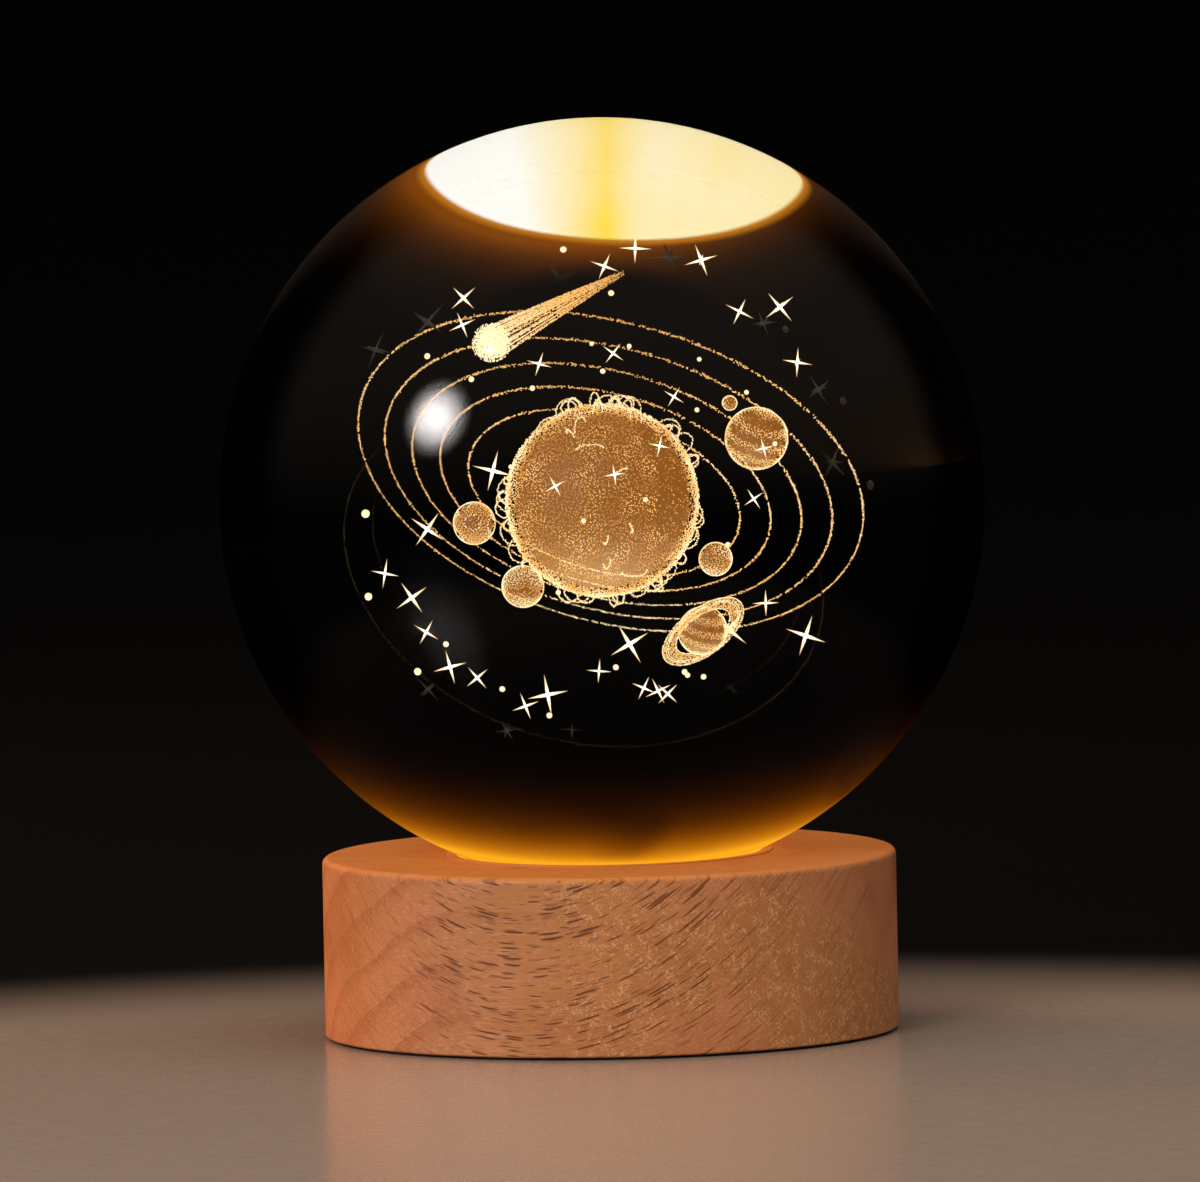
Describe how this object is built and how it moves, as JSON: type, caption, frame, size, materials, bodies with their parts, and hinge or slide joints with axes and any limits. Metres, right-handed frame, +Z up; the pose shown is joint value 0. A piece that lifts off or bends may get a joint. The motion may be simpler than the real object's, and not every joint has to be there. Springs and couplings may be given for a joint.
{
  "type": "crystal ball night light",
  "caption": "Clear glass ball with a laser-engraved sun, planets, comet and stars inside, resting on the lit well of a round wooden base.",
  "frame": {"origin": "on the table, under the middle of the base, which is the middle of the bounding box's bottom", "axes": "+Z up through the ball; -Y the front, from where the engraving is looked at; +Y the back, with the power inlet; +X to the right as seen from the front"},
  "size_m": [0.08, 0.08, 0.0959],
  "materials": {
    "beech": "fine-sanded, matt oiled beech with short dark flecks",
    "foot": "matt",
    "cover": "fine texture",
    "screw_steel": "bright zinc",
    "board": "white solder mask",
    "lamp_housing": "white moulded plastic",
    "lamp_phosphor": "warm phosphor gel, lit",
    "resistor": "ceramic",
    "socket_steel": "nickel plate",
    "socket_plastic": "moulded",
    "contact_gold": "gold plate",
    "diffuser": "frosted, lit from below",
    "clear_silicone": "clear, soft, slightly matt",
    "crystal": "optical glass, polished",
    "engraving": "clouds of tiny laser-made cracks, lit amber from below",
    "engraving_bright": "dense clouds of tiny laser-made cracks, lit pale gold from below"
  },
  "bodies": {
    "base": {"wooden_base": "beech", "foot_ring": "foot", "bottom_cover": "cover", "cover_screws": "screw_steel", "led_board": "board", "board_screws": "screw_steel", "led_housings": "lamp_housing", "led_phosphors": "lamp_phosphor", "series_resistors": "resistor", "usb_shell": "socket_steel", "usb_insert": "socket_plastic", "usb_contacts": "contact_gold", "light_diffuser": "diffuser"},
    "seat": {"seat_ring": "clear_silicone"},
    "ball": {"crystal_ball": "crystal", "engraved_sun": "engraving", "engraved_planets": "engraving", "engraved_planet_ring": "engraving_bright", "engraved_comet": "engraving_bright", "engraved_orbits": "engraving", "engraved_stars": "engraving_bright"}
  },
  "joints": [
    {"name": "ball_turn", "type": "hinge", "parent": "base", "child": "seat", "pos_m": [0, 0, 0.017], "axis": [0, 0, 1], "continuous": true},
    {"name": "ball_lift", "type": "slide", "parent": "seat", "child": "ball", "axis": [0, 0, 1], "range_m": [0, 0.05]}
  ]
}
